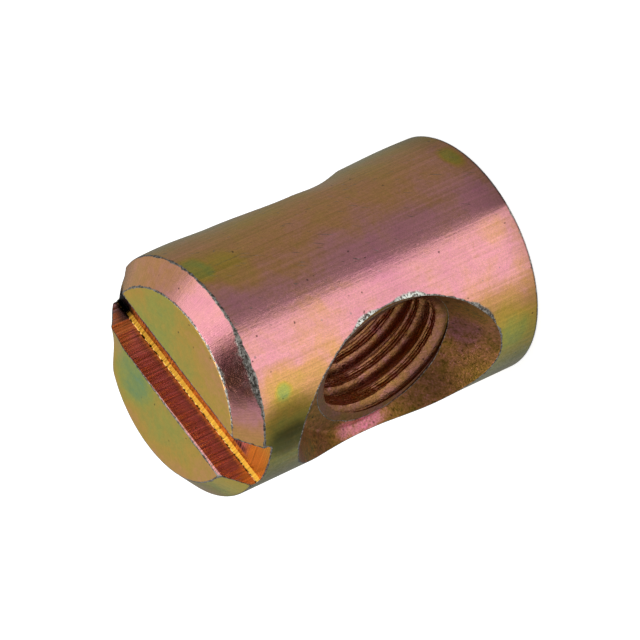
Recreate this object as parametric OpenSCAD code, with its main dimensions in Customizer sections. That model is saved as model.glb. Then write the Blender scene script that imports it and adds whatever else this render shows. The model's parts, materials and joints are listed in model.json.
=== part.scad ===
// Barrel nut, also sold as a hammer nut or cross dowel.
// A short steel barrel with a tapped hole right through its side. It drops into a blind hole in a
// panel, and a bolt comes in from the panel's edge. A slot in one end turns the hole to meet the bolt.
// The barrel stands on its plain end, with +Z along its axis and the tapped hole along Y.
// Millimetres throughout.

/* [Barrel] */
// Diameter of the barrel
barrel_d = 12; // [11:0.1:14]
// Length of the barrel from its plain end to its slotted end
barrel_l = 17.4; // [16.6:0.1:22]
// Width of the bevel at the slotted end, measured across the barrel
bevel_w = 1.05; // [0.4:0.05:1.3]
// Height of the bevel at the slotted end, measured along the barrel
bevel_h = 1.05; // [0.4:0.05:1.3]
// Size of the broken edge round the plain end
edge_break = 0.12; // [0.05:0.01:0.3]

/* [Screwdriver slot] */
// Width of the slot
slot_w = 2.9; // [1.5:0.1:3.4]
// Depth of the slot below the end face
slot_depth = 1.45; // [0.8:0.05:1.7]
// Angle between the slot and the tapped hole, in degrees
slot_turn = 7.5; // [0:0.5:15]

/* [Tapped hole] */
// Nominal diameter of the metric thread
thread_d = 8; // [6:0.5:8.5]
// Pitch of the thread
thread_pitch = 1.25; // [0.75:0.05:1.5]
// Height of the hole's axis above the plain end
thread_z = 7.45; // [7:0.05:8.5]
// Size of the 90-degree countersink at each end of the hole, measured along its axis
sink = 0.4; // [0.1:0.05:0.6]

/* [Pockets] */
// Diameter of a pocket where its cone meets the crest of the barrel
mouth_d = 12.1; // [11:0.05:12.5]
// Diameter of the flat floor at the bottom of a pocket
floor_d = 8.5; // [8:0.05:9.2]
// Depth of a pocket below the crest of the barrel
pocket_depth = 2.3; // [1.2:0.05:2.8]
// Distance from the hole's axis up to the pockets' centre
pocket_shift = 0.7; // [0:0.05:0.75]

/* [Hidden] */
$fn = 96;
plating = [0.62, 0.48, 0.30];
barrel_r = barrel_d / 2;
// A tapped hole is drilled to the nominal diameter less one pitch before it is threaded
tap_drill_r = (thread_d - thread_pitch) / 2;
// The two floors face outwards, one at each end of the tapped hole
floor_y = barrel_r - pocket_depth;
pocket_z = thread_z + pocket_shift;
// How much a pocket's radius grows for each millimetre towards its mouth
cone_slope = (mouth_d - floor_d) / 2 / pocket_depth;
// Every cutter runs this far past the surface that it opens
over = 1;

// The forged blank: a revolved profile with a bevel at the slotted end and a broken edge at the plain one
module blank() {
    rotate_extrude()
        polygon([
            [0, 0],
            [barrel_r - edge_break, 0],
            [barrel_r, edge_break],
            [barrel_r, barrel_l - bevel_h],
            [barrel_r - bevel_w, barrel_l],
            [0, barrel_l]
        ]);
}

// The slot is pressed right across the end face
module slot_cut() {
    translate([-slot_w / 2, -barrel_r - over, barrel_l - slot_depth])
        cube([slot_w, barrel_d + 2 * over, slot_depth + over]);
}

// One pocket, on the side that faces -Y: a shallow cone with a flat floor
module pocket_cut() {
    reach = pocket_depth + over;
    translate([0, -floor_y, pocket_z])
        rotate([90, 0, 0])
            cylinder(h = reach, r1 = floor_d / 2, r2 = floor_d / 2 + cone_slope * reach);
}

// The drilled hole that the thread is cut in, as a plain bore, countersunk where it leaves each floor
module bore_cut() {
    rim_r = tap_drill_r + sink;
    end = barrel_r + over;
    translate([0, 0, thread_z])
        rotate([90, 0, 0])
            rotate_extrude()
                polygon([
                    [0, -end],
                    [rim_r, -end],
                    [rim_r, -floor_y],
                    [tap_drill_r, sink - floor_y],
                    [tap_drill_r, floor_y - sink],
                    [rim_r, floor_y],
                    [rim_r, end],
                    [0, end]
                ]);
}

module nut() {
    color(plating)
        difference() {
            blank();
            rotate([0, 0, -slot_turn])
                slot_cut();
            for (side = [0, 180])
                rotate([0, 0, side])
                    pocket_cut();
            bore_cut();
        }
}

nut();
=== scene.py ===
import json
import math
import random

import bmesh
import bpy
from mathutils import Matrix, Vector, kdtree, noise


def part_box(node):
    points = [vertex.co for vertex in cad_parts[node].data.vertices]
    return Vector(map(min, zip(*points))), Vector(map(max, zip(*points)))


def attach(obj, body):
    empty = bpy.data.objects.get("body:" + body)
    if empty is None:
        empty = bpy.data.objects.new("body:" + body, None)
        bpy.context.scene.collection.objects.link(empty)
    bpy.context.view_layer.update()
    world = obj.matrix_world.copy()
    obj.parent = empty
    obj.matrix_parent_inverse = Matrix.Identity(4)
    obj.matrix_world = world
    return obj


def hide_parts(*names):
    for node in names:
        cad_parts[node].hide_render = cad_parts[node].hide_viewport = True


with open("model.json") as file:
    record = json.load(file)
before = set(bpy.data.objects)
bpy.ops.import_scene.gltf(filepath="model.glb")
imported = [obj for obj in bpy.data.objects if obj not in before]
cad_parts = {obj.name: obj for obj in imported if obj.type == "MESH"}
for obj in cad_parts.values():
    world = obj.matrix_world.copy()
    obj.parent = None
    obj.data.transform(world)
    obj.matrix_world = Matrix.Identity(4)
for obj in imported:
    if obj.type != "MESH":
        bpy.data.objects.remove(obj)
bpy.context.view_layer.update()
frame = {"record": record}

# ---------------------------------------------------------------------------------------------
# The blank: a slug of round steel wire, upset in a die so that one end comes out bevelled.
# It is turned here from half of its section. The die was worn, so the slotted end leans a
# little, and every corner is slightly rounded.

MM = 0.001
low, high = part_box("nut")
barrel_r = (high.x - low.x) / 2 / MM
barrel_l = high.z / MM
bevel_across = 1.14
bevel_along = 1.06
corner_r = 0.09
plain_corner_r = 0.07
end_lean = 1.1
end_tip = 0.6
barrel_sides = 240
plain_end_rings = 12
barrel_rings = 104
bevel_rings = 10
slotted_end_rings = 20
merge_gap = 0.002
hair = 0.01


def make_active(obj):
    bpy.ops.object.select_all(action="DESELECT")
    obj.select_set(True)
    bpy.context.view_layer.objects.active = obj


def spaced(points, steps):
    """The points of a broken line with each stretch cut into its own number of equal steps."""
    out = [points[0]]
    for (r0, z0), (r1, z1), count in zip(points, points[1:], steps):
        for k in range(1, count + 1):
            t = k / count
            out.append((r0 + (r1 - r0) * t, z0 + (z1 - z0) * t))
    return out


def rounded(before, corner, after, radius, count=5):
    """Points of a smooth curve that leaves one line and joins the next round their corner."""
    corner = Vector(corner)
    start = corner + (Vector(before) - corner).normalized() * radius
    end = corner + (Vector(after) - corner).normalized() * radius
    out = []
    for k in range(count + 1):
        t = k / count
        p = start * (1 - t) ** 2 + corner * 2 * t * (1 - t) + end * t * t
        out.append((p.x, p.y))
    return out


def outline(name, points):
    """A new piece that is only a line of points, in millimetres, each joined to the next."""
    mesh = bpy.data.meshes.new(name)
    verts = [(x * MM, y * MM, z * MM) for x, y, z in points]
    mesh.from_pydata(verts, [(k, k + 1) for k in range(len(verts) - 1)], [])
    obj = bpy.data.objects.new(name, mesh)
    bpy.context.scene.collection.objects.link(obj)
    make_active(obj)
    return obj


def turned(name, section, sides):
    """Spins a half section, given as radius and height in millimetres, into a closed shell."""
    obj = outline(name, [(r, 0, z) for r, z in section])
    bpy.ops.object.mode_set(mode="EDIT")
    bpy.ops.mesh.select_all(action="SELECT")
    bpy.ops.mesh.spin(steps=sides, angle=2 * math.pi, center=(0, 0, 0), axis=(0, 0, 1))
    bpy.ops.mesh.select_all(action="SELECT")
    bpy.ops.mesh.remove_doubles(threshold=merge_gap * MM)
    bpy.ops.mesh.normals_make_consistent(inside=False)
    bpy.ops.object.mode_set(mode="OBJECT")
    return obj


bevel_foot = (barrel_r, barrel_l - bevel_along)
bevel_top = (barrel_r - bevel_across, barrel_l)
plain_rim = (barrel_r, 0)
foot_curve = rounded(plain_rim, bevel_foot, bevel_top, corner_r)
top_curve = rounded(bevel_foot, bevel_top, (0, barrel_l), corner_r)
plain_curve = rounded((0, 0), plain_rim, bevel_foot, plain_corner_r)
section = spaced([(0, 0), plain_curve[0]], [plain_end_rings])
section += plain_curve[1:]
section += spaced([plain_curve[-1], foot_curve[0]], [barrel_rings])[1:]
section += foot_curve[1:]
section += spaced([foot_curve[-1], top_curve[0]], [bevel_rings])[1:]
section += top_curve[1:]
section += spaced([top_curve[-1], (0, barrel_l)], [slotted_end_rings])[1:]
nut = turned("hammer_nut", section, barrel_sides)

# The slotted end leans as one piece, bevel and all
lean_from = barrel_l - bevel_along - corner_r - hair
hinge = (0, 0, (barrel_l - bevel_along) * MM)
bpy.ops.object.mode_set(mode="EDIT")
bpy.ops.mesh.select_all(action="DESELECT")
bpy.ops.object.mode_set(mode="OBJECT")
for v in nut.data.vertices:
    v.select = v.co.z > lean_from * MM
bpy.ops.object.mode_set(mode="EDIT")
bpy.ops.transform.rotate(value=math.radians(-end_lean), orient_axis="Y", center_override=hinge)
bpy.ops.transform.rotate(value=math.radians(end_tip), orient_axis="X", center_override=hinge)
bpy.ops.object.mode_set(mode="OBJECT")

blank_surfaces = ("barrel", "bevel", "end", "plain_end")
cut_surfaces = ("slot", "pocket", "thread")
finishes = {}
for surface in blank_surfaces + cut_surfaces:
    finishes[surface + "_plating"] = bpy.data.materials.new(surface + "_plating")
for surface in blank_surfaces:
    nut.data.materials.append(finishes[surface + "_plating"])
flat_face = 0.9
bevel_face = 0.25
for f in nut.data.polygons:
    surface = "barrel"
    if f.normal.z > flat_face:
        surface = "end"
    elif f.normal.z > bevel_face:
        surface = "bevel"
    elif f.normal.z < -flat_face:
        surface = "plain_end"
    f.material_index = blank_surfaces.index(surface)

# ---------------------------------------------------------------------------------------------
# The slot: pressed across the bevelled end with a square punch. The punch dragged on its way
# down and left fine lines in the walls, so its sides are combed here before they cut. It also
# crushed the far corner of the segment beside it.

slot_w = 2.88
slot_depth = 1.45
slot_turn = 7.5
slot_side = 0.14
slot_lip = 0.05
slot_corner = 0.17
comb_depth = 0.016
combs = 170
punch_l = 14
punch_h = 2.5
punch_columns = 8
wall_rows = (0.3, 0.7, 1.1)
touching = 0.001
random.seed(7)


def grid_box(name, size, centre, cuts):
    """A box whose faces are a fine grid, in millimetres."""
    bpy.ops.mesh.primitive_cube_add(size=1, location=(0, 0, 0))
    obj = bpy.context.object
    obj.name = name
    bpy.ops.object.mode_set(mode="EDIT")
    bpy.ops.transform.resize(value=[s * MM for s in size])
    bpy.ops.transform.translate(value=[c * MM for c in centre])
    bpy.ops.object.mode_set(mode="OBJECT")
    work = bmesh.new()
    work.from_mesh(obj.data)
    for axis, marks in enumerate(cuts):
        for mark in marks:
            point, normal = Vector(), Vector()
            point[axis] = mark * MM
            normal[axis] = 1
            parts = work.verts[:] + work.edges[:] + work.faces[:]
            bmesh.ops.bisect_plane(work, geom=parts, plane_co=point, plane_no=normal)
    work.to_mesh(obj.data)
    work.free()
    return obj


def cut(piece, cutter, finish):
    """Takes a cutter's shape out of a piece. The new faces get their own finish."""
    cutter.data.materials.clear()
    cutter.data.materials.append(finishes[finish])
    make_active(piece)
    step = piece.modifiers.new("cut", "BOOLEAN")
    step.operation = "DIFFERENCE"
    step.object = cutter
    step.solver = "EXACT"
    step.material_mode = "TRANSFER"
    bpy.ops.object.modifier_apply(modifier=step.name)
    bpy.data.objects.remove(cutter)


def fade(away, reach):
    """How much of a dent is left at a distance from its middle: all of it there, none at its reach."""
    return (1 - (away / reach) ** 2) ** 2


slot_floor = barrel_l - slot_depth
lip_rise = slot_w / 2 * math.tan(math.radians(end_lean))
lips = {side: barrel_l - side * lip_rise - slot_lip for side in (-1, 1)}
punch = grid_box(
    "slot_punch",
    (slot_w, punch_l, punch_h),
    (slot_side, 0, slot_floor + punch_h / 2),
    (
        [slot_side + slot_w * (k / punch_columns - 0.5) for k in range(1, punch_columns)],
        [punch_l * (k / combs - 0.5) for k in range(1, combs)],
        [slot_floor + slot_corner, *(slot_floor + row for row in wall_rows), lips[1], lips[-1]],
    ),
)
drag = [random.uniform(-1, 1) for k in range(combs + 1)]
for v in punch.data.vertices:
    across, along, up = v.co / MM
    side = 1 if across > slot_side else -1
    if abs(abs(across - slot_side) - slot_w / 2) < touching:
        row = round((along / punch_l + 0.5) * combs)
        v.co.x += drag[row] * comb_depth * MM
        if up < slot_floor + touching:
            v.co.x -= side * slot_corner * MM
        v.co.x += side * max(0, up - lips[side]) * MM
punch.data.transform(Matrix.Rotation(math.radians(-slot_turn), 4, "Z"))

crush_at = Vector((-1.6, 4.95, barrel_l)) * MM
crush_reach = 1.7
crush_depth = 0.30
for v in nut.data.vertices:
    away = (v.co - crush_at).length / MM
    if away < crush_reach:
        v.co.z -= crush_depth * MM * fade(away, crush_reach)
cut(nut, punch, "slot_plating")

# ---------------------------------------------------------------------------------------------
# The pockets: pressed into both sides ahead of the drill. Each is a shallow bowl with a flat floor
# and walls that open towards the lip, a little uneven where the punch has skidded. The pressing
# squeezed one of them and swelled or sank the barrel a little round both.

pocket_z = 8.16
pocket_side = 0.03
pocket_depth = 2.3
floor_r = 4.42
waist_r = 5.27
mouth_r = 6.02
floor_corner_r = 0.1
squeeze_low_x = 0.93
squeeze_high_x = 0.955
pocket_sides = 200
floor_rings = 14
wall_rings = 22
overshoot = 1.0
flare = 0.3
skid_depth = 0.006
skids_per_mm = 0.8
dent_depth = 0.02
dents_per_mm = 1.3
elsewhere = 9

floor_y = barrel_r - pocket_depth
bend = 4 * waist_r - 2 * floor_r - 2 * mouth_r
wall = []
for k in range(wall_rings + 1):
    t = k / wall_rings
    wall.append((floor_r + (mouth_r - floor_r) * t + bend * t * (1 - t), pocket_depth * t))
pocket_section = rounded((0, 0), wall[0], wall[1], floor_corner_r)
pocket_section = spaced([(0, 0), pocket_section[0]], [floor_rings]) + pocket_section[1:] + wall[1:]
pocket_section += [(mouth_r + flare, pocket_depth + overshoot), (0, pocket_depth + overshoot)]
for side in (-1, 1):
    pocket = turned("pocket_punch", pocket_section, pocket_sides)
    for v in pocket.data.vertices:
        skid = noise.noise(v.co / MM * skids_per_mm + Vector((side * elsewhere, 0, 0)))
        v.co.xy *= 1 + skid_depth * skid
        if side < 0:
            v.co.x *= squeeze_high_x if v.co.x > 0 else squeeze_low_x
        v.co.z += dent_depth * MM * noise.noise(v.co / MM * dents_per_mm + Vector((0, side * elsewhere, 0)))
    stand = Matrix.Translation(Vector((pocket_side, side * floor_y, pocket_z)) * MM)
    pocket.data.transform(stand @ Matrix.Rotation(-side * math.pi / 2, 4, "X"))
    cut(nut, pocket, "pocket_plating")


def on_barrel(azimuth, height):
    a = math.radians(azimuth)
    return (barrel_r * math.cos(a), barrel_r * math.sin(a), height)


# Where the barrel has swelled or sunk: azimuth, height, reach, amount
swells = [
    (56, 15.0, 3.0, 0.12),
    (56, 1.5, 3.0, 0.07),
    (46, 6.3, 2.0, -0.12),
    (-130, 5.2, 2.4, 0.05),
]
for azimuth, height, reach, amount in swells:
    middle = Vector(on_barrel(azimuth, height)) * MM
    for v in nut.data.vertices:
        away = (v.co - middle).length / MM
        if away < reach:
            v.co.xy += v.co.xy.normalized() * amount * MM * fade(away, reach)

# ---------------------------------------------------------------------------------------------
# The hole and its countersinks: drilled right through, and opened a little at each end to lead
# the tap in. Here they are one cutter, revolved and laid along the hole.

mounts = {m["name"]: m for m in frame["record"]["mounts"]}
thread_z = mounts["thread"]["pos_m"][2] / MM
drill_r = mounts["thread"]["dims"]["r_mm"]
sink_r = 3.84
sink_depth = 0.12
sink_rise = 0.10
sink_sides = 160
sink_rings = [2, 6, 5, 12, 5, 6, 2]
sink_wobble = 0.004
wobbles_per_mm = 1.2

sink_end = barrel_r + overshoot
sink_half = [(drill_r, floor_y - sink_depth), (sink_r, floor_y), (sink_r, sink_end)]
sink_section = [(0, -sink_end)] + [(r, -h) for r, h in reversed(sink_half)]
sink_section = spaced(sink_section + sink_half + [(0, sink_end)], sink_rings)
sink = turned("drill_and_countersinks", sink_section, sink_sides)
for v in sink.data.vertices:
    v.co.xy *= 1 + sink_wobble * noise.noise(v.co / MM * wobbles_per_mm)
stand = Matrix.Translation(Vector((0, 0, thread_z + sink_rise)) * MM)
sink.data.transform(stand @ Matrix.Rotation(math.pi / 2, 4, "X"))
cut(nut, sink, "thread_plating")

# ---------------------------------------------------------------------------------------------
# The thread: M8 with a 1.25 mm pitch, right-hand, rolled by a forming tap that leaves a torn
# seam along each crest. The tap is one pitch of its section wound into a screw.

pitch = 1.25
root_r = 3.82
crest_r = 3.36
seam_r = 3.53
turns = 8
thread_start = 0.40
thread_lean = 1.16
screw_steps = 168
tap_merge_gap = 0.003
tap_tip = 0.1
tap_core = 0.5
root_band = 0.3
tear_depth = 0.010
coarse_tears_per_mm = 3
fine_tears_per_mm = 9
half_pitch = [
    (0.00, root_r),
    (0.05, root_r),
    (0.10, root_r - 0.05),
    (0.20, root_r - 0.22),
    (0.28, crest_r + 0.13),
    (0.34, crest_r + 0.04),
    (0.40, crest_r),
    (0.46, crest_r + 0.05),
    (0.49, crest_r + 0.13),
    (0.53, crest_r + 0.03),
    (0.57, crest_r + 0.05),
    (0.60, seam_r - 0.01),
    (0.625, seam_r),
]
tap_section = half_pitch + [(pitch - y, r) for y, r in reversed(half_pitch[:-1])]
tap = outline("tap", [(r, y, 0) for y, r in tap_section])
wind = tap.modifiers.new("wind", "SCREW")
wind.axis = "Y"
wind.angle = 2 * math.pi
wind.screw_offset = pitch * MM
wind.iterations = turns
wind.steps = wind.render_steps = screw_steps
wind.use_merge_vertices = True
wind.merge_threshold = merge_gap * MM
bpy.ops.object.modifier_apply(modifier=wind.name)
bpy.ops.object.mode_set(mode="EDIT")
bpy.ops.mesh.select_all(action="SELECT")
bpy.ops.mesh.remove_doubles(threshold=tap_merge_gap * MM)
bpy.ops.object.mode_set(mode="OBJECT")

# Both ends of the screw are closed to a point, and the flanks are roughened
work = bmesh.new()
work.from_mesh(tap.data)
rims = [e for e in work.edges if e.is_boundary]
middle = (turns + 1) / 2 * pitch * MM
for side in (-1, 1):
    rim = [e for e in rims if (e.verts[0].co.y - middle) * side > 0]
    ring = bmesh.ops.extrude_edge_only(work, edges=rim)["geom"]
    tip = [g for g in ring if isinstance(g, bmesh.types.BMVert)]
    tip_y = middle + side * (turns / 2 + tap_tip) * pitch * MM
    bmesh.ops.pointmerge(work, verts=tip, merge_co=(0, tip_y, 0))
bmesh.ops.recalc_face_normals(work, faces=work.faces)
for v in work.verts:
    r = math.hypot(v.co.x, v.co.z) / MM
    if tap_core < r < root_r - root_band:
        coarse = noise.noise(v.co / MM * coarse_tears_per_mm)
        fine = noise.noise(v.co / MM * fine_tears_per_mm)
        v.co.xz *= 1 + tear_depth * coarse + tear_depth * fine
work.to_mesh(tap.data)
work.free()
lean = math.radians(thread_lean)
tap.data.transform(Matrix.Translation((0, thread_start * MM - middle, 0)))
tap.data.transform(Matrix.Rotation(lean, 4, "X") @ Matrix.Rotation(lean, 4, "Z"))
tap.data.transform(Matrix.Translation((0, 0, thread_z * MM)))
cut(nut, tap, "thread_plating")

# ---------------------------------------------------------------------------------------------
# The finish: bright zinc plate under a yellow passivation. The film is thinner than a wavelength,
# so its thickness sets its colour, from teal through green, gold and peach to pink and violet.

worn_reach = 0.35
sharp_corner = 24
edge_step = 0.06
relief_depth = 0.02
smooth_below = 32


def mark_worn_edges(piece):
    """Stores on every point how near it lies to a corner, from 0 at the reach to 1 on the corner."""
    work = bmesh.new()
    work.from_mesh(piece.data)
    sheltered = ("thread_plating", "slot_plating")
    inside = {index for index, m in enumerate(piece.data.materials) if m.name in sheltered}
    points = []
    for e in work.edges:
        kinds = {f.material_index for f in e.link_faces}
        if len(e.link_faces) != 2 or (len(kinds) == 1 and kinds <= inside):
            continue
        if len(kinds) > 1 or e.calc_face_angle(0) > math.radians(sharp_corner):
            a, b = (v.co for v in e.verts)
            count = max(1, round((b - a).length / (edge_step * MM)))
            points += [a.lerp(b, k / count) for k in range(count + 1)]
    tree = kdtree.KDTree(len(points))
    for k, p in enumerate(points):
        tree.insert(p, k)
    tree.balance()
    near = [max(0.0, 1 - tree.find(v.co)[2] / (worn_reach * MM)) for v in work.verts]
    work.free()
    piece.data.attributes.new("edge_near", "FLOAT", "POINT").data.foreach_set("value", near)


mark_worn_edges(nut)


def tint(red, green, blue):
    """A colour as it is mixed on a screen, from 0 to 255, turned into amounts of light."""
    parts = [c / 255 for c in (red, green, blue)]
    return tuple(c / 12.92 if c < 0.04 else ((c + 0.055) / 1.055) ** 2.4 for c in parts) + (1,)


def fill(tree, socket, value):
    """Gives an input a fixed value, or links another node's output to it."""
    if isinstance(value, bpy.types.NodeSocket):
        tree.links.new(value, socket)
    else:
        socket.default_value = value


def node(tree, kind, inputs=None, **settings):
    """Adds a node, sets its properties, and fills its inputs with values or other nodes' outputs."""
    made = tree.nodes.new(kind)
    for name, value in settings.items():
        setattr(made, name, value)
    for key, value in (inputs or {}).items():
        fill(tree, made.inputs[key], value)
    return made


def maths(tree, operation, *values):
    return node(tree, "ShaderNodeMath", dict(enumerate(values)), operation=operation).outputs[0]


def vector_maths(tree, operation, *values, output="Vector", **named):
    inputs = {**dict(enumerate(values)), **named}
    return node(tree, "ShaderNodeVectorMath", inputs, operation=operation).outputs[output]


def varied(tree, base, mask, by):
    """A base value with a share of a mask added to it."""
    return maths(tree, "MULTIPLY_ADD", mask, by, base)


def dimmed(tree, base, mask, by):
    """A base value that loses a share of itself where the mask is 1."""
    return maths(tree, "MULTIPLY", base, varied(tree, 1.0, mask, by=-by))


def apart(tree, first, second):
    """How far two values lie from each other."""
    return maths(tree, "ABSOLUTE", maths(tree, "SUBTRACT", first, second))


def smooth_step(tree, value, start, end, low=0.0, high=1.0):
    """Goes smoothly from low to high while the value goes from start to end."""
    limits = {"Value": value, "From Min": start, "From Max": end, "To Min": low, "To Max": high}
    return node(tree, "ShaderNodeMapRange", limits, interpolation_type="SMOOTHSTEP").outputs[0]


def ramp(tree, factor, stops):
    """A colour ramp from a list of places and colours. A bare number stands for a grey."""
    made = node(tree, "ShaderNodeValToRGB", {0: factor})
    row = made.color_ramp.elements
    while len(row) < len(stops):
        row.new(0.5)
    for mark, (at, colour) in zip(row, stops):
        mark.position = at
        mark.color = colour if isinstance(colour, tuple) else (colour, colour, colour, 1)
    return made.outputs[0]


def millimetres(tree):
    """The point being shaded, in millimetres."""
    here = node(tree, "ShaderNodeTexCoord").outputs["Object"]
    return vector_maths(tree, "SCALE", here, Scale=1 / MM)


def split(tree, vector):
    """A vector's three numbers."""
    return node(tree, "ShaderNodeSeparateXYZ", {0: vector}).outputs


def rotated(tree, vector, degrees, about):
    inputs = {"Vector": vector, "Angle": math.radians(degrees)}
    return node(tree, "ShaderNodeVectorRotate", inputs, rotation_type=about).outputs[0]


def uneven(tree, dimensions, middle=0.5, **inputs):
    """Noise with its middle at nought."""
    texture = node(tree, "ShaderNodeTexNoise", inputs, noise_dimensions=dimensions)
    return maths(tree, "SUBTRACT", texture.outputs[0], middle)


def new_effect(name, inputs, outputs):
    """An empty node group with named sockets, and the two ends to wire it between."""
    tree = bpy.data.node_groups.new(name, "ShaderNodeTree")
    for label, value in inputs.items():
        kind = "NodeSocketVector" if isinstance(value, tuple) else "NodeSocketFloat"
        tree.interface.new_socket(label, in_out="INPUT", socket_type=kind).default_value = value
    for label, kind in outputs.items():
        tree.interface.new_socket(label, in_out="OUTPUT", socket_type=kind)
    return tree, tree.nodes.new("NodeGroupInput").outputs, tree.nodes.new("NodeGroupOutput").inputs


def place(tree, effect, **values):
    """Puts an effect into a material with its own values, and gives back its outputs."""
    made = tree.nodes.new("ShaderNodeGroup")
    made.node_tree = bpy.data.node_groups[effect]
    for label, value in values.items():
        fill(tree, made.inputs[label], value)
    return made.outputs


# The colour that the film shows at each thickness, from 0 to 1
film, given, result = new_effect("film_colour", {"Thickness": 0.5}, {"Color": "NodeSocketColor"})
film_colours = [
    (0.00, tint(140, 190, 175)),
    (0.12, tint(158, 188, 118)),
    (0.24, tint(196, 194, 92)),
    (0.35, tint(226, 186, 84)),
    (0.46, tint(238, 174, 118)),
    (0.56, tint(243, 168, 170)),
    (0.68, tint(228, 140, 176)),
    (0.80, tint(176, 122, 176)),
    (0.92, tint(136, 158, 166)),
    (1.00, tint(176, 188, 112)),
]
film.links.new(ramp(film, given["Thickness"], film_colours), result["Color"])

# Clouds, where the bath ran off unevenly
bath, given, result = new_effect("bath_cloud", {"Size": 2.0, "Seed": 0.0}, {"Value": "NodeSocketFloat"})
patchy = uneven(
    bath, "4D", Vector=millimetres(bath), W=given["Seed"], Scale=maths(bath, "DIVIDE", 1.0, given["Size"]),
    Detail=4.0, Roughness=0.58, Distortion=0.5,
)
bath.links.new(patchy, result["Value"])


def clouds(tree, size, seed):
    return place(tree, "bath_cloud", Size=size, Seed=seed)["Value"]


# One stain: a ragged spot round a point, in millimetres
stain, given, result = new_effect(
    "stain",
    {"Centre": (0.0, 0.0, 0.0), "Size": (1.0, 1.0, 1.0), "Ragged": 0.6},
    {"Mask": "NodeSocketFloat"},
)
away = vector_maths(stain, "SUBTRACT", millimetres(stain), given["Centre"])
away = vector_maths(stain, "DIVIDE", away, given["Size"])
away = vector_maths(stain, "LENGTH", away, output="Value")
away = varied(stain, away, clouds(stain, size=1.1, seed=3.0), by=given["Ragged"])
stain.links.new(smooth_step(stain, away, 1.25, 0.45), result["Mask"])

# Lines drawn along the barrel by the die
lines, given, result = new_effect(
    "drawn_lines", {"Width": 0.1, "Length": 4.0, "Seed": 0.0}, {"Value": "NodeSocketFloat"}
)
slim = maths(lines, "DIVIDE", given["Width"], given["Length"])
squash = node(lines, "ShaderNodeCombineXYZ", {0: 1.0, 1: 1.0, 2: slim}).outputs[0]
along = vector_maths(lines, "MULTIPLY", millimetres(lines), squash)
streaky = uneven(
    lines, "4D", Vector=along, W=given["Seed"], Scale=maths(lines, "DIVIDE", 0.5, given["Width"]),
    Detail=3.0, Roughness=0.65,
)
lines.links.new(streaky, result["Value"])

# Scratches: short fine lines, where one of two crossed sets of lines stands out most
scratch, given, result = new_effect("scratches", {"Seed": 0.0, "Amount": 0.2}, {"Mask": "NodeSocketFloat"})
along = place(scratch, "drawn_lines", Width=0.05, Length=1.6, Seed=given["Seed"])["Value"]
tilted = rotated(scratch, millimetres(scratch), 33, "X_AXIS")
tilted = vector_maths(scratch, "MULTIPLY", tilted, (10.0, 10.0, 0.7))
across = uneven(scratch, "3D", middle=0.53, Vector=tilted, Scale=1.0, Detail=1.0)
most = maths(scratch, "MAXIMUM", along, across)
edge = maths(scratch, "ADD", given["Amount"], 0.05)
scratch.links.new(smooth_step(scratch, most, given["Amount"], edge), result["Mask"])

# Small marks: uneven spots, kept in only some of the cells that the surface is split into
marks, given, result = new_effect(
    "small_marks", {"Spacing": 0.6, "Size": 0.12, "Seed": 0.0}, {"Mask": "NodeSocketFloat"}
)
shifted = vector_maths(marks, "ADD", millimetres(marks), given["Seed"])
wobble = node(marks, "ShaderNodeTexNoise", {"Vector": shifted, "Scale": 7.0, "Detail": 2.0}).outputs["Color"]
bent = vector_maths(marks, "ADD", shifted, vector_maths(marks, "SCALE", wobble, Scale=0.12))
closeness = maths(marks, "DIVIDE", 1.0, given["Spacing"])
cells = node(marks, "ShaderNodeTexVoronoi", {"Vector": bent, "Scale": closeness}).outputs
far = maths(marks, "MULTIPLY", cells["Distance"], given["Spacing"])
spots = smooth_step(marks, far, given["Size"], maths(marks, "MULTIPLY", given["Size"], 0.4))
chosen = smooth_step(marks, split(marks, cells["Color"])[0], 0.62, 0.7)
marks.links.new(maths(marks, "MULTIPLY", spots, chosen), result["Mask"])

# Corners, where handling rubs the film off and leaves grey metal
worn, given, result = new_effect("worn_edge", {"Width": 0.08, "Ragged": 0.3}, {"Mask": "NodeSocketFloat"})
near = node(worn, "ShaderNodeAttribute", attribute_name="edge_near").outputs["Fac"]
gap = maths(worn, "MULTIPLY", maths(worn, "SUBTRACT", 1.0, near), worn_reach)
gap = varied(worn, gap, clouds(worn, size=0.35, seed=0.0), by=given["Ragged"])
edge = maths(worn, "MULTIPLY", given["Width"], 0.55)
worn.links.new(smooth_step(worn, gap, given["Width"], edge), result["Mask"])

dull_zinc = tint(88, 82, 76)
bright_zinc = tint(184, 180, 172)
chipped_zinc = tint(238, 242, 232)
amber_film = tint(234, 172, 56)
pit_dark = tint(70, 45, 35)
# A dull brown, mixed in for the bevel's painted dark reflection and to dull the pockets and thread
dull_brown = tint(128, 58, 26)


def start_finish(name):
    material = finishes[name]
    material.use_nodes = True
    material.node_tree.nodes.clear()
    return material.node_tree


def mixed(tree, share, first, second, blend="MIX"):
    inputs = {0: share, 6: first, 7: second}
    return node(tree, "ShaderNodeMix", inputs, data_type="RGBA", blend_type=blend).outputs[2]


def grey(tree, level):
    return node(tree, "ShaderNodeCombineColor", {0: level, 1: level, 2: level}).outputs[0]


def turn_of(tree, x, y):
    """How far round an upright axis a point lies, from 0 to 1, with 0.5 along x."""
    return varied(tree, 0.5, maths(tree, "ARCTAN2", y, x), by=0.5 / math.pi)


def by_azimuth(tree, turn, levels):
    """A level for every direction round the axis, from a list of azimuths and levels."""
    return ramp(tree, turn, [(azimuth / 360 + 0.5, level) for azimuth, level in levels])


def off_axis(tree, x, y):
    """How far a point lies from an axis."""
    flat = node(tree, "ShaderNodeCombineXYZ", {0: x, 1: y, 2: 0.0}).outputs[0]
    return vector_maths(tree, "LENGTH", flat, output="Value")


def spot_mask(tree, centre, size):
    return place(tree, "stain", Centre=centre, Size=size)["Mask"]


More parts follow.
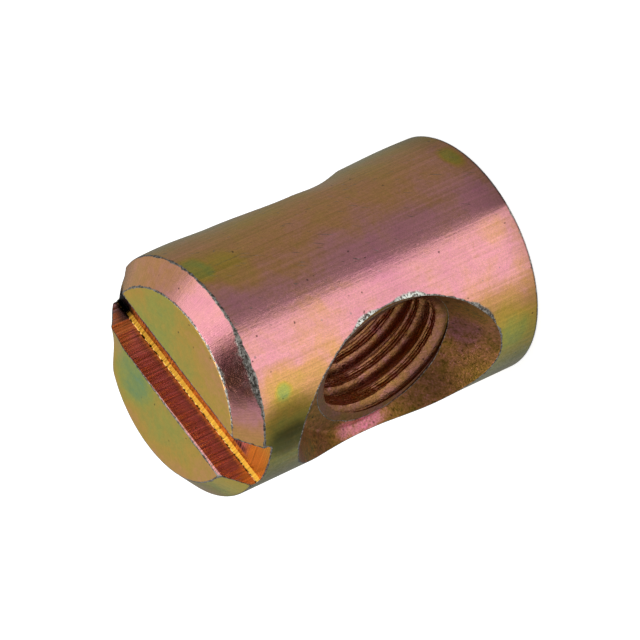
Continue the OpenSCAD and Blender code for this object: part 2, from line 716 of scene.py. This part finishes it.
def add_stains(tree, thickness, shade, stains):
    """Thins the film and shades it at each stain of a list: centre, size, thinning, darkening."""
    for centre, size, thinner, darker in stains:
        mask = spot_mask(tree, centre, size)
        if thinner:
            thickness = varied(tree, thickness, mask, by=-thinner)
        if darker:
            shade = dimmed(tree, shade, mask, by=darker)
    return thickness, shade


def plate(
    tree, thickness, shade, height, rough, bump,
    worn_width=0.085, worn_rag=0.25, overlay_share=0.0, overlay_colour=dull_brown, rub=0.0, chips=0.0,
):
    """The plated surface itself: film colour, shading, worn corners, pits, gloss and relief."""
    colour = place(tree, "film_colour", Thickness=thickness)["Color"]
    # Mixes towards a second colour: amber film in the slot, dull brown in the pockets and thread, and the
    # bevel's painted dark reflection
    colour = mixed(tree, overlay_share, colour, overlay_colour)
    colour = mixed(tree, 1.0, colour, grey(tree, shade), "MULTIPLY")
    speck = clouds(tree, size=0.11, seed=17.0)
    zinc = mixed(tree, smooth_step(tree, speck, -0.10, 0.14), dull_zinc, bright_zinc)
    pits = place(tree, "small_marks", Spacing=0.55, Size=0.07, Seed=4.0)["Mask"]
    colour = mixed(tree, maths(tree, "MULTIPLY", pits, 0.75), colour, pit_dark)
    nicks = place(tree, "small_marks", Spacing=0.8, Size=0.08, Seed=11.0)["Mask"]
    colour = mixed(tree, varied(tree, rub, nicks, by=0.55), colour, zinc)
    rubbed = place(tree, "worn_edge", Width=worn_width, Ragged=worn_rag)["Mask"]
    colour = mixed(tree, rubbed, colour, zinc)
    flakes = maths(tree, "MULTIPLY", chips, rubbed)
    flakes = maths(tree, "MULTIPLY", flakes, smooth_step(tree, speck, -0.06, 0.04))
    colour = mixed(tree, flakes, colour, chipped_zinc)
    relief = varied(tree, height, pits, by=-0.6)
    relief = varied(tree, relief, rubbed, by=maths(tree, "MULTIPLY", speck, 2.5))
    relief = {"Strength": bump, "Distance": relief_depth * MM, "Height": relief}
    normal = node(tree, "ShaderNodeBump", relief).outputs[0]
    haze = varied(tree, rough, rubbed, by=0.12)
    metal = {"Base Color": colour, "Metallic": 1.0, "Roughness": haze, "Normal": normal}
    metal = node(tree, "ShaderNodeBsdfPrincipled", metal).outputs[0]
    node(tree, "ShaderNodeOutputMaterial", {"Surface": metal})


# Barrel: pink on two sides and olive between them, where handling has rubbed the film greyer
tree = start_finish("barrel_plating")
spot = split(tree, millimetres(tree))
turn = turn_of(tree, spot[0], spot[1])
barrel_film = [
    (-180, 0.50), (-150, 0.40), (-124, 0.26), (-104, 0.21), (-92, 0.25), (-82, 0.29), (-72, 0.36),
    (-64, 0.45), (-56, 0.52), (-46, 0.555), (-24, 0.565), (-12, 0.545), (-3, 0.50), (8, 0.47),
    (24, 0.45), (40, 0.36), (54, 0.28), (75, 0.40), (100, 0.56), (140, 0.62), (180, 0.50),
]
thickness = by_azimuth(tree, turn, barrel_film)
thickness = varied(tree, thickness, clouds(tree, size=2.4, seed=1.0), by=0.28)
grain = place(tree, "drawn_lines", Width=0.07, Length=5.0, Seed=2.0)["Value"]
thickness = varied(tree, thickness, grain, by=0.10)
mottle = clouds(tree, size=0.22, seed=5.0)
thickness = varied(tree, thickness, mottle, by=0.09)
grit = clouds(tree, size=0.07, seed=6.0)
shade = varied(tree, 0.95, grain, by=0.62)
shade = varied(tree, shade, mottle, by=0.30)
shade = varied(tree, shade, grit, by=0.70)
handled = [
    (-180, 0.2), (-112, 0.5), (-100, 0.35), (-88, 0.05), (-76, 0.0), (26, 0.03), (38, 0.12),
    (52, 0.3), (90, 0.2), (180, 0.2),
]
rub = by_azimuth(tree, turn, handled)
rub = node(tree, "ShaderNodeSeparateColor", {0: rub}).outputs[0]
scuffs = place(tree, "scratches", Seed=3.0, Amount=0.17)["Mask"]
shady = smooth_step(tree, apart(tree, turn, 0.53), 0.13, 0.08)
scuffs = maths(tree, "MULTIPLY", scuffs, varied(tree, 0.12, shady, by=0.45))
rub = maths(tree, "ADD", rub, scuffs)
chips = maths(
    tree,
    "MAXIMUM",
    spot_mask(tree, on_barrel(-42, 9.7), (0.9, 0.9, 0.8)),
    spot_mask(tree, on_barrel(-39, 6.9), (0.8, 0.8, 1.0)),
)
bruise = maths(tree, "MAXIMUM", spot_mask(tree, on_barrel(-60, 3.0), (1.2, 1.2, 0.9)), chips)
bruise_width = varied(tree, 0.085, bruise, by=0.20)
# Painted shade: the barrel darkens towards the rim of its plain end
painted_shade_at_plain_rim = smooth_step(tree, spot[2], 0.15, 0.07, low=1.0, high=0.45)
shade = maths(tree, "MULTIPLY", shade, painted_shade_at_plain_rim)
stains = [
    (on_barrel(-58, 15.0), (0.5, 0.5, 0.5), 0.20, 0.0),
    (on_barrel(-56, 14.9), (1.3, 1.3, 1.3), 0.10, 0.0),
    (on_barrel(-56, 13.2), (1.0, 1.0, 0.8), 0.05, 0.0),
    (on_barrel(-50, 12.4), (1.0, 1.0, 1.2), 0.04, 0.0),
    (on_barrel(-74, 14.9), (1.4, 1.4, 1.9), 0.04, 0.55),
    (on_barrel(-84, 14.9), (1.1, 1.1, 1.9), 0.00, 0.66),
    (on_barrel(4, 14.4), (1.6, 1.6, 1.2), 0.10, 0.0),
    (on_barrel(12, 15.8), (1.1, 1.1, 0.7), 0.20, 0.0),
    (on_barrel(13, 0.7), (0.9, 0.9, 0.5), 0.20, 0.0),
    (on_barrel(-14, 1.3), (1.3, 1.3, 1.0), -0.05, 0.0),
    (on_barrel(-30, 1.4), (1.0, 1.0, 0.8), 0.06, 0.0),
    (on_barrel(-60, 2.2), (1.2, 1.2, 1.2), 0.04, 0.08),
    (on_barrel(-80, 1.4), (1.2, 1.2, 1.0), 0.08, 0.0),
]
thickness, shade = add_stains(tree, thickness, shade, stains)
rough = varied(tree, 0.24, clouds(tree, size=0.5, seed=8.0), by=0.10)
height = varied(tree, varied(tree, mottle, grit, by=0.5), grain, by=0.9)
plate(tree, thickness, shade, height, rough, bump=0.5, worn_width=bruise_width, rub=rub, chips=chips)

# Bevel: pink on one side, peach, gold and olive round the rest, bruised in one place, where a painted dark
# reflection also browns it
tree = start_finish("bevel_plating")
spot = split(tree, millimetres(tree))
turn = turn_of(tree, spot[0], spot[1])
bevel_film = [
    (-180, 0.45), (-130, 0.26), (-104, 0.30), (-88, 0.38), (-76, 0.44), (-66, 0.54), (-44, 0.56),
    (-30, 0.57), (-20, 0.59), (-6, 0.57), (4, 0.56), (12, 0.54), (24, 0.48), (60, 0.45), (110, 0.50),
    (150, 0.30), (180, 0.45),
]
thickness = by_azimuth(tree, turn, bevel_film)
thickness = varied(tree, thickness, clouds(tree, size=1.2, seed=21.0), by=0.20)
mottle = clouds(tree, size=0.35, seed=25.0)
grit = clouds(tree, size=0.08, seed=26.0)
rays = uneven(tree, "1D", W=turn, Scale=420.0, Detail=3.0, Roughness=0.6)
thickness = varied(tree, thickness, mottle, by=0.10)
shade = varied(tree, 1.0, mottle, by=0.35)
shade = varied(tree, shade, grit, by=0.40)
shade = varied(tree, shade, rays, by=0.25)
rough = varied(tree, 0.19, mottle, by=0.08)
height = varied(tree, varied(tree, grit, mottle, by=2.0), rays, by=0.6)
bruise = spot_mask(tree, on_barrel(-43, barrel_l - bevel_along), (2.0, 2.0, 1.2))
bruise_width = varied(tree, 0.07, bruise, by=0.32)
# Painted dark reflection: a brown patch by the bevel's edge, round the bruise
painted_dark_reflection = spot_mask(tree, on_barrel(-42, barrel_l - 0.4), (1.8, 1.8, 1.8))
painted_dark_reflection = maths(tree, "MULTIPLY", painted_dark_reflection, 0.62)
plate(
    tree, thickness, shade, height, rough, bump=0.28, worn_width=bruise_width, worn_rag=0.28, overlay_share=painted_dark_reflection,
)

# Slotted end face: olive, golder towards its border, with two greener stains
tree = start_finish("end_plating")
spot = split(tree, millimetres(tree))
thickness = smooth_step(tree, off_axis(tree, spot[0], spot[1]), 3.0, 5.0, low=0.27, high=0.34)
thickness = maths(tree, "ADD", thickness, smooth_step(tree, spot[1], 1.6, -3.0, low=0.0, high=0.06))
thickness = varied(tree, thickness, clouds(tree, size=1.6, seed=31.0), by=0.30)
mottle = clouds(tree, size=0.30, seed=35.0)
grit = clouds(tree, size=0.08, seed=36.0)
thickness = varied(tree, thickness, mottle, by=0.14)
shade = varied(tree, 1.0, mottle, by=0.22)
shade = varied(tree, shade, grit, by=0.30)
stains = [
    ((-2.0, 2.6, barrel_l), (1.3, 1.5, 1.3), 0.11, 0.0),
    ((4.2, 1.4, barrel_l), (1.4, 1.8, 1.3), 0.06, 0.0),
]
thickness, shade = add_stains(tree, thickness, shade, stains)
rough = varied(tree, 0.30, mottle, by=0.08)
plate(tree, thickness, shade, mottle, rough, bump=0.25, worn_width=0.05, worn_rag=0.18)

# Plain end face, hidden when the nut stands: gold with pink clouds
tree = start_finish("plain_end_plating")
thickness = varied(tree, 0.40, clouds(tree, size=2.2, seed=41.0), by=0.6)
mottle = clouds(tree, size=0.25, seed=45.0)
shade = varied(tree, 1.0, mottle, by=0.16)
rough = varied(tree, 0.30, mottle, by=0.08)
plate(tree, thickness, shade, mottle, rough, bump=0.25)

# Slot: dark pink walls, combed by the punch. An amber film has pooled along the foot of each wall
# and at both ends of the floor. Painted glints and dark ticks break its upper edge, painted shade
# lies in a band beside it, a painted shadow darkens one exit, and painted light brightens the
# amber towards the other.
tree = start_finish("slot_plating")
spot = split(tree, rotated(tree, millimetres(tree), slot_turn, "Z_AXIS"))
comb = uneven(tree, "1D", W=spot[1], Scale=9.0, Detail=3.0, Roughness=0.7)
thickness = varied(tree, 0.53, comb, by=0.10)
thickness = varied(tree, thickness, clouds(tree, size=1.0, seed=71.0), by=0.14)
shade = varied(tree, 0.74, comb, by=1.6)
above = maths(tree, "SUBTRACT", spot[2], slot_floor)
corner = smooth_step(tree, above, slot_corner + 0.01, slot_corner - 0.02)
corner = maths(tree, "MULTIPLY", corner, smooth_step(tree, above, 0.002, 0.006))
from_wall = maths(tree, "SUBTRACT", slot_w / 2, apart(tree, spot[0], slot_side))
lowest = smooth_step(tree, above, 0.006, 0.002)
exits = smooth_step(tree, maths(tree, "ABSOLUTE", spot[1]), 4.2, 4.8)
strip = maths(tree, "MULTIPLY", lowest, smooth_step(tree, from_wall, 0.55, 0.45))
# Painted shade: a darker band of floor beside each amber strip, short of the exits
painted_shade_band = maths(tree, "MULTIPLY", lowest, smooth_step(tree, from_wall, 1.0, 0.7, low=0.0, high=-0.50))
painted_shade_band = maths(tree, "MULTIPLY", painted_shade_band, smooth_step(tree, from_wall, 0.45, 0.55))
painted_shade_band = maths(tree, "MULTIPLY", painted_shade_band, maths(tree, "SUBTRACT", 1.0, exits))
shade = maths(tree, "ADD", shade, painted_shade_band)
amber = maths(tree, "MAXIMUM", corner, strip)
amber = maths(tree, "MAXIMUM", amber, maths(tree, "MULTIPLY", lowest, exits))
ticks = clouds(tree, size=0.13, seed=73.0)
# Painted glints and dark ticks along the seam where the amber meets the wall
seam = smooth_step(tree, apart(tree, above, slot_corner), 0.05, 0.02)
painted_glints_and_ticks = maths(tree, "MULTIPLY", seam, smooth_step(tree, ticks, -0.05, 0.07, low=-0.8, high=0.9))
shade = maths(tree, "ADD", shade, painted_glints_and_ticks)
# Painted shadow: the floor and the foot of the walls go nearly black at one exit
painted_shadow_at_exit = spot_mask(tree, (-0.35, 5.6, slot_floor), (1.1, 0.8, 0.8))
painted_shadow_at_exit = maths(tree, "MULTIPLY", painted_shadow_at_exit, smooth_step(tree, above, 0.35, 0.2))
shade = dimmed(tree, shade, painted_shadow_at_exit, by=0.92)
# Painted light: the amber is brighter towards one exit and a little darker towards the other
extra_light = smooth_step(tree, spot[1], -3.5, 5.0, low=0.32, high=-0.08)
shade = maths(tree, "ADD", shade, maths(tree, "MULTIPLY", amber, extra_light))
plate(
    tree, thickness, shade, comb, rough=0.26, bump=0.25, worn_width=0.05, worn_rag=0.12,
    overlay_share=maths(tree, "MULTIPLY", amber, 0.97), overlay_colour=amber_film,
)

# Pockets: red-brown and amber, stippled by the punch and dulled with brown, with a painted highlight on the
# floor by the lower lip
tree = start_finish("pocket_plating")
thickness = varied(tree, 0.39, clouds(tree, size=1.3, seed=51.0), by=0.40)
mottle = clouds(tree, size=0.34, seed=55.0)
grit = clouds(tree, size=0.11, seed=57.0)
thickness = varied(tree, thickness, mottle, by=0.30)
thickness = varied(tree, thickness, grit, by=0.35)
shade = varied(tree, 0.66, mottle, by=0.9)
shade = varied(tree, shade, grit, by=1.5)
pocks = place(tree, "small_marks", Spacing=0.22, Size=0.09, Seed=58.0)["Mask"]
shade = varied(tree, shade, pocks, by=-0.25)
stains = [
    ((2.6, -5.0, 3.2), (1.7, 1.6, 1.3), 0.02, -0.30),
    ((-2.4, 5.0, 12.4), (1.5, 1.6, 1.3), 0.16, 0.0),
    ((0.4, -4.4, 3.2), (1.5, 1.0, 1.0), -0.12, 0.24),
    # Painted highlight: a bright pink patch on the floor by the lower lip
    ((-4.0, -3.8, 8.3), (0.8, 0.6, 1.7), -0.20, -1.3),
    ((-2.4, -4.5, 12.0), (1.2, 1.0, 1.4), 0.06, -0.2),
    ((-2.6, -4.2, 5.0), (1.8, 1.2, 1.8), -0.06, 0.22),
]
thickness, shade = add_stains(tree, thickness, shade, stains)
rough = varied(tree, 0.36, mottle, by=0.14)
height = varied(tree, mottle, grit, by=1.6)
plate(tree, thickness, shade, height, rough, bump=1.0, worn_width=0.03, worn_rag=0.05, overlay_share=0.55)

# Thread: the film is thinner in the roots, the torn crests carry a painted highlight, and the hole's mouths
# carry painted shade
tree = start_finish("thread_plating")
spot = split(tree, millimetres(tree))
out = off_axis(tree, spot[0], maths(tree, "SUBTRACT", spot[2], thread_z))
crest = smooth_step(tree, out, 3.62, 3.40)
root = smooth_step(tree, out, 3.80, 3.98)
thickness = varied(tree, 0.47, clouds(tree, size=0.9, seed=61.0), by=0.40)
mottle = clouds(tree, size=0.11, seed=65.0)
thickness = varied(tree, thickness, mottle, by=0.14)
thickness = varied(tree, thickness, root, by=-0.22)
shade = varied(tree, 0.78, mottle, by=1.3)
# Painted highlight on the crests
shade = varied(tree, shade, crest, by=0.14)
# Painted shade: darker towards the countersinks at both mouths of the hole
lead = smooth_step(tree, maths(tree, "ABSOLUTE", spot[1]), floor_y - 0.32, floor_y - 0.20)
shade = dimmed(tree, shade, lead, by=0.45)
height = maths(tree, "MULTIPLY", mottle, varied(tree, 0.6, crest, by=1.5))
plate(tree, thickness, shade, height, rough=0.24, bump=1.0, worn_width=0.03, worn_rag=0.05, overlay_share=0.32)

make_active(nut)
bpy.ops.object.shade_smooth_by_angle(angle=math.radians(smooth_below))
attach(nut, "root")
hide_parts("nut")

# ---------------------------------------------------------------------------------------------
# The studio: a pale floor with a soft lamp overhead, in an even room. The camera sees both white,
# with the nut's shadow. The metal mirrors a bright card on the floor, with a grey sweep beside it
# and a painted shadow close to the nut, and a room with one soft window and one dark corner.

floor_size_m = 2.0
floor_paint = tint(230, 230, 230)
floor_glow = 0.62
card_corner = (2.75, -1.46)
card_levels = [
    (-180, 0.24), (-160, 0.28), (-135, 0.39), (-115, 0.48), (-98, 0.54), (-86, 0.80), (-74, 1.0),
    (-19.3, 1.0), (-14.8, 0.26), (60, 0.27), (146, 0.27), (180, 0.24),
]
painted_shadow_under_nut = 0.74
room_level = 0.46
window_light = 0.58
corner_shade = 0.90
lamp_azimuth = 146
lamp_elevation = 84
lamp_distance_m = 0.6
lamp_size_m = 0.42
lamp_watts = 1.6

bpy.ops.mesh.primitive_plane_add(size=floor_size_m, location=(0, 0, 0))
floor = bpy.context.object
floor.name = "floor"
floor_finish = bpy.data.materials.new("pale_floor")
floor_finish.use_nodes = True
tree = floor_finish.node_tree
tree.nodes.clear()
spot = split(tree, millimetres(tree))
from_corner = [maths(tree, "SUBTRACT", spot[axis], card_corner[axis]) for axis in (0, 1)]
card = by_azimuth(tree, turn_of(tree, *from_corner), card_levels)
# Painted shadow: the mirrored card darkens close to the nut
near = smooth_step(tree, off_axis(tree, spot[0], spot[1]), 6.2, 8.5, low=painted_shadow_under_nut, high=1.0)
card = mixed(tree, 1.0, card, grey(tree, near), "MULTIPLY")
reflected = node(tree, "ShaderNodeEmission", {"Color": card, "Strength": 1.0}).outputs[0]
extra_light = node(tree, "ShaderNodeEmission", {"Strength": floor_glow}).outputs[0]
paint = node(tree, "ShaderNodeBsdfDiffuse", {"Color": floor_paint}).outputs[0]
shown = node(tree, "ShaderNodeAddShader", {0: extra_light, 1: paint}).outputs[0]
path = node(tree, "ShaderNodeLightPath").outputs
mirrored = maths(tree, "MAXIMUM", path["Is Glossy Ray"], path["Is Transmission Ray"])
surface = node(tree, "ShaderNodeMixShader", {0: mirrored, 1: shown, 2: reflected}).outputs[0]
node(tree, "ShaderNodeOutputMaterial", {"Surface": surface})
floor.data.materials.append(floor_finish)


def towards(azimuth, elevation):
    a, e = math.radians(azimuth), math.radians(elevation)
    return Vector((math.cos(a) * math.cos(e), math.sin(a) * math.cos(e), math.sin(e)))


def room_patch(tree, way, azimuth, elevation, inner, outer):
    """A round soft-edged patch of the room, as a mask, between two angles from its middle."""
    lined = vector_maths(tree, "DOT_PRODUCT", way, towards(azimuth, elevation), output="Value")
    return smooth_step(tree, lined, math.cos(math.radians(outer)), math.cos(math.radians(inner)))


room = bpy.data.worlds.new("studio_room")
bpy.context.scene.world = room
room.use_nodes = True
tree = room.node_tree
tree.nodes.clear()
way = node(tree, "ShaderNodeTexCoord").outputs["Generated"]
window = room_patch(tree, way, azimuth=24, elevation=44, inner=22, outer=34)
dark_corner = room_patch(tree, way, azimuth=-55, elevation=59, inner=3, outer=31)
level = dimmed(tree, varied(tree, room_level, window, by=window_light), dark_corner, by=corner_shade)
path = node(tree, "ShaderNodeLightPath").outputs
level = maths(tree, "MAXIMUM", level, path["Is Camera Ray"])
sky = node(tree, "ShaderNodeBackground", {"Color": (1, 1, 1, 1), "Strength": level}).outputs[0]
node(tree, "ShaderNodeOutputWorld", {"Surface": sky})

lamp_light = bpy.data.lights.new("soft_lamp", "AREA")
lamp_light.size = lamp_size_m
lamp_light.energy = lamp_watts
lamp = bpy.data.objects.new("soft_lamp", lamp_light)
bpy.context.scene.collection.objects.link(lamp)
lamp.location = towards(lamp_azimuth, lamp_elevation) * lamp_distance_m
lamp.rotation_euler = lamp.location.to_track_quat("Z", "Y").to_euler()

# ---------------------------------------------------------------------------------------------
# The camera: a long lens from a little above, rolled so that the barrel lies across the frame.
# The frame is 640 pixels square, and the lens is 6000 of those pixels long.

camera_azimuth = 56.0967
camera_elevation = 29.6455
camera_roll = -114.5682
camera_distance = 289.0
camera_aim = (-3.0158, 1.8534, 6.5464)
lens_pixels = 6000
frame_pixels = 640
sensor = 36
nearest_m = 0.01
farthest_m = 10

a, e, roll = (math.radians(v) for v in (camera_azimuth, camera_elevation, camera_roll))
back = Vector((math.sin(a) * math.cos(e), -math.cos(a) * math.cos(e), math.sin(e)))
level_right = Vector((math.cos(a), math.sin(a), 0))
right = level_right * math.cos(roll) + back.cross(level_right) * math.sin(roll)
pose = Matrix((right, back.cross(right), back)).transposed().to_4x4()
camera_data = bpy.data.cameras.new("camera")
camera_data.sensor_width = sensor
camera_data.lens = lens_pixels / frame_pixels * sensor
camera_data.clip_start = nearest_m
camera_data.clip_end = farthest_m
camera = bpy.data.objects.new("camera", camera_data)
bpy.context.scene.collection.objects.link(camera)
camera.matrix_world = Matrix.Translation((Vector(camera_aim) + back * camera_distance) * MM) @ pose
bpy.context.scene.camera = camera
bpy.context.scene.view_settings.view_transform = "Standard"
